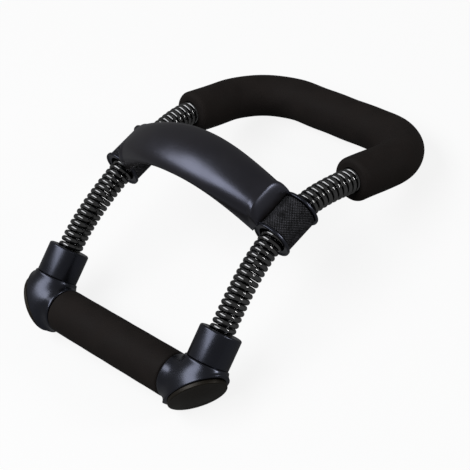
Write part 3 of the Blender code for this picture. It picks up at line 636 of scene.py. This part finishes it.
def padHeight(x, middle, end):
    # middle - (middle - end) (|x| / half the spacing)^archPower
    return middle - (middle - end) * (np.abs(x) / (arch["padSpacing"] / 2)) ** pad["archPower"]


def padCrown(x):
    # the same curve over the pad's top
    return padHeight(x, pad["underside"] + pad["thickness"], pad["undersideEnd"] + pad["thicknessEnd"])


def padTop(x):
    # the lower of the crown and the end face, which rises evenly from the tip to the crease
    tipGap = arch["padSpacing"] / 2 - pad["halfLength"]
    tip = math.sqrt(pad["collarRoom"] ** 2 - tipGap ** 2) + pad["tipWall"]
    rise = (padCrown(pad["halfLength"] - pad["endBevel"]) - tip) / pad["endBevel"]
    return smoothMin(padCrown(x), tip + rise * (pad["halfLength"] - np.abs(x)), pad["creaseSoft"])


def padStations():
    # places along the pad, close together on the steep end faces, and how far each is drawn in
    # at the tip, whose quarter circle goes out by tipRound sin and in by tipRound (1 - cos)
    crease = pad["halfLength"] - pad["endBevel"] - pad["creaseLead"]
    middle = np.linspace(-crease, crease, pad["along"])
    face = np.linspace(crease, pad["halfLength"] - pad["tipRound"], pad["endSteps"])[1:]
    turn = np.linspace(0, math.pi / 2, pad["tipSteps"])[1:]
    end = np.concatenate([face, pad["halfLength"] - pad["tipRound"] * (1 - np.sin(turn))])
    inset = np.concatenate([0 * face, pad["tipRound"] * (1 - np.cos(turn))])
    return (np.concatenate([-end[::-1], middle, end])[:, None],
            np.concatenate([inset[::-1], 0 * middle, inset])[:, None])


def makePad(name):
    # each station is a D: z = base + (top - base) |sin|^(2/power) above and base - belly |sin|^(2/power)
    # below, at width x |cos|^(2/power); the base is the higher of the arch and the collars' room
    x, inset = padStations()
    angle = np.arange(pad["around"]) / pad["around"] * 2 * math.pi
    c, s = np.cos(angle)[None, :], np.sin(angle)[None, :]
    reach = np.abs(x) / (arch["padSpacing"] / 2)
    under = padHeight(x, pad["underside"], pad["undersideEnd"])
    fromSprings = arch["padSpacing"] / 2 - np.abs(x)
    room = np.sqrt(np.clip(pad["collarRoom"] ** 2 - fromSprings ** 2, 0, None))
    top = padTop(x) - inset
    base = smoothMax(under, room, pad["roomSoft"]) + inset
    belly = pad["belly"] * np.clip((under - room) / pad["bellyFade"], 0, 1)
    power = pad["crownPower"] + (pad["endPower"] - pad["crownPower"]) * reach ** pad["powerRise"]
    power = np.where(s >= 0, power, pad["bellyPower"])
    width = pad["width"] + (pad["widthEnd"] - pad["width"]) * reach ** pad["taperPower"]
    z = base + np.where(s >= 0, top - base, -belly) * np.abs(s) ** (2 / power)
    w = (width / 2 - inset) * np.sign(c) * np.abs(c) ** (2 / power)
    points = np.stack([x + 0 * z, z, w], -1)
    archY, archZ, turn = (float(v) for v in archAt(0.0))
    frameHere = (Matrix.Translation((0, archY, archZ)) @ Matrix.Rotation(turn, 4, "X")
                 @ Matrix.Translation((0, 0, -collarSag / 2)) @ Matrix.Rotation(math.pi / 2, 4, "X"))
    piece = meshFromGrid(name, placed(points, frameHere), material=padSkin, crease=pad["crease"])
    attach(piece, "sliding_pad")
    return piece


wristPad = makePad("wristCushion")
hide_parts("wrist_pad")
print("cushion shaped")


# Foam sleeves: the forearm bar and the grip

bar = {
    "radius": 14.4 * mm, "edge": 3.5 * mm, "leg": 34.0 * mm, "bend": 38.0 * mm,
    "rodRoom": 4.64 * mm, "springRoom": 8.45 * mm, "springDepth": 12.5 * mm, "mouthFlare": 0.6 * mm,
    "waves": ((0.10 * mm, 3, 90, 130, 1.3), (0.06 * mm, 5, -210, 0, math.pi / 2)),    # as rippled has them
    "sink": 0.12 * mm,
    "legSteps": 40, "bendSteps": 50, "crossSteps": 16, "endSteps": 8, "around": 72, "crease": 70,
    "outerGap": 0.5 * mm, "innerGap": 1.0 * mm,    # least distance from an end's stations to the rest
    "boreStep": 0.01 * mm, "headingStep": 0.3 * mm,
}
grip = {
    "radius": 14.6 * mm, "edge": 2.0 * mm, "half": 53.3 * mm, "tubeRoom": 11.3 * mm,
    "waves": ((0.08 * mm, 3, 120, 160, 0.7),), "sink": 0.08 * mm,
    "steps": 80, "insideSteps": 20, "endSteps": 8, "around": 96, "crease": 70,
}


def barLine():
    # leg, quarter circle and crossbar in the bar's own plane, then the same mirrored
    leg = np.stack([np.linspace(0, bar["leg"], bar["legSteps"]), np.zeros(bar["legSteps"])], 1)
    a = np.linspace(0, math.pi / 2, bar["bendSteps"])[1:]
    bend = np.stack([bar["leg"] + bar["bend"] * np.sin(a), bar["bend"] * (1 - np.cos(a))], 1)
    cross = np.linspace(bar["bend"], arch["barSpacing"] / 2, bar["crossSteps"])[1:]
    top = np.stack([np.full(len(cross), bar["leg"] + bar["bend"]), cross], 1)
    half = np.vstack([leg, bend, top])
    other = half[::-1][1:] * [1, -1] + [0, arch["barSpacing"]]
    return np.vstack([half, other])


def endProfile(spec):
    # quarter circle of a rounded end: in from the end by edge (1 - cos), radius less edge (1 - sin)
    a = np.linspace(0, math.pi / 2, spec["endSteps"])
    return spec["edge"] * (1 - np.cos(a)), spec["radius"] - spec["edge"] * (1 - np.sin(a))


def sleeveStations(length, ends, gap):
    # an end's own distances, the line's places between the ends, and the end's distances mirrored
    middle = length[(length > ends[-1] + gap) & (length < length[-1] - ends[-1] - gap)]
    return np.concatenate([ends, middle, length[-1] - ends[::-1]])


def sleeveRadii(count, ends, middle):
    # an end's own radii, the middle's radius, and the end's radii mirrored
    return np.concatenate([ends, np.full(count - 2 * len(ends), middle), ends[::-1]])


def rippled(radius, angle, along, spec):
    # radius - sink + each wave's height x sin(lobes a + twist l) sin(swell l + start),
    # for the angle a round the sleeve and the distance l along it
    radii = radius[:, None] - spec["sink"]
    for height, lobes, twist, swell, start in spec["waves"]:
        lobe = np.sin(lobes * angle[None, :] + twist * along[:, None])
        radii = radii + height * lobe * np.sin(swell * along[:, None] + start)
    return radii


def makeForearmFoam(name):
    # a circle of the sleeve's radius carried along the bar's line, and back along it as the bore
    flat = barLine()
    length = np.concatenate([[0], np.cumsum(np.linalg.norm(np.diff(flat, axis=0), axis=1))])
    endIn, endRadius = endProfile(bar)
    outer = sleeveStations(length, endIn, bar["outerGap"])
    outerRadius = sleeveRadii(len(outer), endRadius, bar["radius"])
    depth, room = bar["springDepth"], bar["springRoom"]
    boreIn = np.array([0.0, bar["boreStep"], depth, depth + bar["boreStep"]])
    boreRadius = np.array([room + bar["mouthFlare"], room, room, bar["rodRoom"]])
    inner = sleeveStations(length, boreIn, bar["innerGap"])
    innerRadius = sleeveRadii(len(inner), boreRadius, bar["rodRoom"])

    y, z, turn = (float(v) for v in archAt(rearEnd))
    start = np.array([arch["barSpacing"] / 2, y, z])
    forward = np.array([0, math.cos(turn), math.sin(turn)])
    across = np.array([1.0, 0, 0])
    upwards = np.cross(across, forward)
    angle = np.arange(bar["around"]) / bar["around"] * 2 * math.pi
    c, s = np.cos(angle)[None, :, None], np.sin(angle)[None, :, None]

    def lineAt(distance):
        # the bar's middle line at distances from its first end
        ahead, inward = (np.interp(distance, length, flat[:, k])[:, None] for k in (0, 1))
        return start + ahead * forward - inward * across

    def circlesAt(distance, radius):
        # line + radius (cos a Side + sin a Up), square to the heading from just behind to just ahead
        behind, ahead = (np.clip(distance + way * bar["headingStep"], 0, length[-1]) for way in (-1, 1))
        heading = lineAt(ahead) - lineAt(behind)
        heading /= np.linalg.norm(heading, axis=1)[:, None]
        sideways = np.cross(heading, upwards)[:, None]
        return lineAt(distance)[:, None] + radius[..., None] * (c * sideways + s * upwards)

    outside = circlesAt(outer, rippled(outerRadius, angle, outer, bar))
    inside = circlesAt(inner, innerRadius[:, None])
    points = np.concatenate([outside, inside[::-1]])
    points[..., 2] = np.maximum(points[..., 2], 0.0)    # flat where it rests on the ground
    return meshFromGrid(name, points, closed=True, material=blackFoam, crease=bar["crease"])


def makeGrip(name):
    # a circle of the grip's radius carried along X, and back as the tube's room
    total = 2 * grip["half"]
    endIn, endRadius = endProfile(grip)
    middle = np.linspace(grip["edge"], total - grip["edge"], grip["steps"])[1:-1]
    along = np.concatenate([endIn, middle, total - endIn[::-1]])
    angle = np.arange(grip["around"]) / grip["around"] * 2 * math.pi
    radius = rippled(sleeveRadii(len(along), endRadius, grip["radius"]), angle, along, grip)
    y, z, _ = (float(v) for v in archAt(frontEnd - arch["socketDrop"]))

    def circlesAt(x, r):
        # (x - half, y + r cos a, z + r sin a)
        x = x[:, None] - grip["half"] + 0 * r
        return np.stack([x, y + r * np.cos(angle), z + r * np.sin(angle)], -1)

    back = np.linspace(total, 0, grip["insideSteps"])
    inside = circlesAt(back, np.full((len(back), grip["around"]), grip["tubeRoom"]))
    points = np.concatenate([circlesAt(along, radius), inside])
    return meshFromGrid(name, points, closed=True, material=blackFoam, crease=grip["crease"])


forearmFoam = makeForearmFoam("forearmSleeve")
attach(forearmFoam, "forearm_bar")
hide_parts("forearm_foam")

gripFoam = makeGrip("gripSleeve")
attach(gripFoam, "handle")
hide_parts("handle_grip")
print("foam sleeves made")


# Elbows and their caps

elbow = {
    "radius": 14.5 * mm, "shoulder": 16.5 * mm, "hub": 19.4 * mm, "cornerReach": 16.4 * mm,
    "blend": 5.5 * mm, "edge": 0.9 * mm,
    "spigot": 13.0 * mm, "spigotTop": 16.95 * mm,    # goes up into the socket's foot
    "mitre": math.radians(47), "mitreOffset": 2.7 * mm,
    "lipLong": 18.5 * mm, "lipShort": 14.7 * mm, "lipDepth": 3.2 * mm, "lipBlend": 1.2 * mm,
    "rings": 150, "around": 200, "farthest": 40 * mm, "halvings": 40,
}
mitreOut = np.array([math.sin(elbow["mitre"]), 0, -math.cos(elbow["mitre"])])    # square to the cut corner
mitreUp = np.array([math.cos(elbow["mitre"]), 0, math.sin(elbow["mitre"])])


def barrelDistance(fromAxis, along, low, high):
    # the larger of the distances to a straight wall and to two flat ends, with rounded rims
    return smoothMax(fromAxis, np.abs(along - (low + high) / 2) - (high - low) / 2, elbow["edge"])


def elbowDistance(p):
    # rounded union of two barrels and a spigot, joined to an oval lip, cut by the mitre plane
    x, y, z = p[..., 0], p[..., 1], p[..., 2]
    depth, rise = p @ mitreOut, p @ mitreUp
    upright = barrelDistance(np.hypot(x, y) - elbow["radius"], z, -elbow["cornerReach"], elbow["shoulder"])
    level = barrelDistance(np.hypot(y, z) - elbow["radius"], x, -elbow["hub"], elbow["cornerReach"])
    spigot = np.maximum(np.hypot(x, y) - elbow["spigot"], np.abs(z) - elbow["spigotTop"])
    oval = (np.hypot(rise / elbow["lipLong"], y / elbow["lipShort"]) - 1) * elbow["lipShort"]
    lip = barrelDistance(oval, depth, elbow["mitreOffset"] - elbow["lipDepth"], elbow["mitreOffset"])
    body = np.minimum(smoothMin(upright, level, elbow["blend"]), spigot)
    body = smoothMin(body, lip, elbow["lipBlend"])
    return smoothMax(body, depth - elbow["mitreOffset"], elbow["edge"])


def rayRings(distance, pole, count, around):
    # the surface seen from inside: along each ray the radius where the distance is nought, by halving
    sideways = np.array([0.0, 1.0, 0.0])
    third = np.cross(pole, sideways)
    polar = np.linspace(0, math.pi, count + 2)[1:-1][:, None, None]
    angle = (np.arange(around) / around * 2 * math.pi)[None, :, None]
    ray = np.cos(polar) * pole + np.sin(polar) * (np.cos(angle) * sideways + np.sin(angle) * third)
    low, high = np.zeros(ray.shape[:2]), np.full(ray.shape[:2], elbow["farthest"])
    for _ in range(elbow["halvings"]):
        middle = (low + high) / 2
        inside = distance(ray * middle[..., None]) < 0
        low, high = np.where(inside, middle, low), np.where(inside, high, middle)
    return ray * ((low + high) / 2)[..., None]


def makeElbow(name, side):
    # the elbow's distance solved along rays that spread from its middle, round the mitre's axis
    rings = rayRings(elbowDistance, mitreOut, elbow["rings"], elbow["around"])
    piece = meshFromGrid(name, placed(rings, handleFrame(side, side < 0)), material=satinPlastic)
    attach(piece, "handle")
    return piece


cap = {
    "long": 19.8 * mm, "short": 15.6 * mm, "gap": 0.3 * mm, "rim": 2.6 * mm, "edge": 0.8 * mm,
    "crown": 1.8 * mm, "crownPower": 1.3, "footRound": 0.35 * mm,
    "seat": 0.1 * mm,                                      # goes down into the elbow
    "underShares": (0.9, 0.861), "seatShares": (0.86, 0.5, 0.02),    # shares of the radius, outside in
    "crownSteps": 26, "roundSteps": 9, "around": 144, "crease": 60,
}


def makeCap(name, side):
    # oval plate (long r cos a, short r sin a, h): h = top + crown cos(pi r / 2)^crownPower over the
    # face, then a quarter circle round the rim, one round the foot, and the seat
    low, top = cap["gap"], cap["gap"] + cap["rim"]
    rimShare, footShare = cap["edge"] / cap["short"], cap["footRound"] / cap["short"]
    r = np.linspace(cap["seatShares"][-1], 1 - rimShare, cap["crownSteps"])
    crown = np.stack([r, top + cap["crown"] * np.cos(math.pi / 2 * r) ** cap["crownPower"]], 1)
    a = np.linspace(0, math.pi / 2, cap["roundSteps"])[1:]
    rim = np.stack([1 - rimShare * (1 - np.sin(a)), crown[-1, 1] - cap["edge"] * (1 - np.cos(a))], 1)
    foot = np.stack([1 - footShare * (1 - np.cos(a)), low + cap["footRound"] * (1 - np.sin(a))], 1)
    under = [(share, low) for share in cap["underShares"]]
    seat = [(share, -cap["seat"]) for share in cap["seatShares"]]
    share, height = np.split(np.vstack([crown, rim, foot, under, seat]), 2, axis=1)
    angle = (np.arange(cap["around"]) / cap["around"] * 2 * math.pi)[None, :]
    points = np.stack([cap["long"] * share * np.cos(angle), cap["short"] * share * np.sin(angle),
                       height + 0 * angle], -1)
    turned = handleFrame(side, side < 0) @ Matrix.Rotation(math.pi - elbow["mitre"], 4, "Y")
    points = placed(points, turned @ Matrix.Translation((0, 0, elbow["mitreOffset"])))
    points[..., 2] = np.maximum(points[..., 2], 0.0)    # flat where it rests on the ground
    piece = meshFromGrid(name, points, material=capPlastic, crease=cap["crease"])
    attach(piece, "handle")
    return piece


for side, word in ((-1, "left"), (1, "right")):
    corner = makeElbow(word + "Elbow", side)
    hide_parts(word + "_elbow")
    cover = makeCap(word + "Cap", side)
    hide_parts(word + "_corner_cap")
print("elbows and caps made")


# The pieces that stay as the frame has them get their finish

keptFinish = {"forearm_rod": drawnTube, "handle_tube": drawnTube}
for word in ("left", "right"):
    for part in ("_handle_bolt", "_bolt_washer", "_tube_plug"):
        keptFinish[word + part] = zincPlate
for node, finish in keptFinish.items():
    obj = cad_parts[node]
    obj.data.materials.clear()
    obj.data.materials.append(finish)


# Stage, camera and light

bpy.context.scene.view_settings.view_transform = "Standard"

cameraSettings = {
    "place": (0.643762, -0.350115, 0.681208), "turn": (44.48444, 18.48114, 43.64489),
    "focalPixels": 1523.4, "imagePixels": 470, "sensor": 36.0,
}


def makeCamera():
    # the lens is as long as the sensor times focalPixels / imagePixels
    data = bpy.data.cameras.new("photoCamera")
    data.sensor_width = data.sensor_height = cameraSettings["sensor"]
    data.sensor_fit = "HORIZONTAL"
    data.lens = cameraSettings["sensor"] * cameraSettings["focalPixels"] / cameraSettings["imagePixels"]
    obj = bpy.data.objects.new("photoCamera", data)
    bpy.context.scene.collection.objects.link(obj)
    obj.location = cameraSettings["place"]
    obj.rotation_euler = [math.radians(v) for v in cameraSettings["turn"]]
    bpy.context.scene.camera = obj
    bpy.context.view_layer.update()
    return obj


camera = makeCamera()


def seenDirectly(nodes, links, glossShare):
    # 1 for rays from the camera or through glass, glossShare in a reflection,
    # and 0 for the light that falls on the object
    rays = nodes.new("ShaderNodeLightPath")
    gloss = addNode(nodes, "ShaderNodeMath", operation="MULTIPLY")
    gloss.inputs[1].default_value = glossShare
    cameraOrGloss = addNode(nodes, "ShaderNodeMath", operation="MAXIMUM")
    anySeen = addNode(nodes, "ShaderNodeMath", operation="MAXIMUM")
    links.new(rays.outputs["Is Glossy Ray"], gloss.inputs[0])
    links.new(rays.outputs["Is Camera Ray"], cameraOrGloss.inputs[0])
    links.new(gloss.outputs["Value"], cameraOrGloss.inputs[1])
    links.new(cameraOrGloss.outputs["Value"], anySeen.inputs[0])
    links.new(rays.outputs["Is Transmission Ray"], anySeen.inputs[1])
    return anySeen


studio = {
    "floorHalf": 4.0, "floorDrop": 0.2 * mm, "paper": (0.18, 0.18, 0.178),
    "paperRoughness": 0.9, "paperSpecular": 0.1,
    "paperLift": 0.86, "paperInGloss": 0.06,    # the paper's glow where seen, and its share in a reflection
    "worldLight": 0.13, "worldInGloss": 0.14,   # the world's level on the object, and in a reflection
    "aim": (0.0, 0.0, 0.05),                    # what the lamps point at
}


def makeFloor():
    # grey paper that glows where it is seen directly, so that it reads white and keeps the shadow
    reach = studio["floorHalf"]
    mesh = bpy.data.meshes.new("paleFloor")
    corners = [(-reach, -reach, 0), (reach, -reach, 0), (reach, reach, 0), (-reach, reach, 0)]
    mesh.from_pydata(corners, [], [(0, 1, 2, 3)])
    floor = bpy.data.objects.new("paleFloor", mesh)
    bpy.context.scene.collection.objects.link(floor)
    mat, nodes, links, shader = newMaterial("palePaper", studio["paper"], studio["paperRoughness"],
                                            specular=studio["paperSpecular"])
    seen = seenDirectly(nodes, links, studio["paperInGloss"])
    glow = rangeBetween(nodes, links, seen.outputs["Value"], 0.0, studio["paperLift"], 0.0, 1.0)
    shader.inputs["Emission Color"].default_value = (1.0, 1.0, 1.0, 1.0)
    links.new(glow.outputs["Result"], shader.inputs["Emission Strength"])
    mesh.materials.append(mat)
    floor.location.z = -studio["floorDrop"]
    return floor


makeFloor()


def makeLamp(name, spec):
    # a softbox aimed at the object; its direction and that of its long side are given in the
    # camera's axes: right, up, back
    data = bpy.data.lights.new(name, "AREA")
    data.shape = "RECTANGLE"
    data.size, data.size_y = spec["size"]
    data.energy = spec["power"]
    data.color = spec["colour"]
    lamp = bpy.data.objects.new(name, data)
    bpy.context.scene.collection.objects.link(lamp)
    turn = camera.matrix_world.to_3x3()
    way = (turn @ Vector(spec["toward"])).normalized()
    longSide = turn @ Vector(spec["along"])
    longSide = (longSide - way * longSide.dot(way)).normalized()
    axes = Matrix((longSide.cross(way), longSide, way)).transposed()
    lamp.location = Vector(studio["aim"]) + way * spec["distance"]
    lamp.rotation_euler = axes.to_euler()
    return lamp


lamps = {
    "leftStrip": {"toward": (-0.71, 0.41, 0.57), "along": (-0.19, 0.58, -0.69), "distance": 1.3,
                  "size": (0.66, 1.55), "power": 10.4, "colour": (0.96, 0.97, 1.0)},
    "rightStrip": {"toward": (0.76, 0.30, 0.58), "along": (-0.21, 0.40, 0.07), "distance": 1.4,
                   "size": (0.16, 0.50), "power": 4.0, "colour": (1.0, 1.0, 1.0)},
}
for name, spec in lamps.items():
    makeLamp(name, spec)


def makeWorld():
    # an even white surround: worldLight on the object, worldInGloss in a reflection, 1 where it is seen
    world = bpy.data.worlds.new("studioWorld")
    bpy.context.scene.world = world
    world.use_nodes = True
    nodes, links = world.node_tree.nodes, world.node_tree.links
    background = nodes["Background"]
    background.inputs["Color"].default_value = (1, 1, 1, 1)
    glossShare = (studio["worldInGloss"] - studio["worldLight"]) / (1 - studio["worldLight"])
    seen = seenDirectly(nodes, links, glossShare)
    strength = rangeBetween(nodes, links, seen.outputs["Value"], studio["worldLight"], 1.0, 0.0, 1.0)
    links.new(strength.outputs["Result"], background.inputs["Strength"])


makeWorld()
print("stage lit")
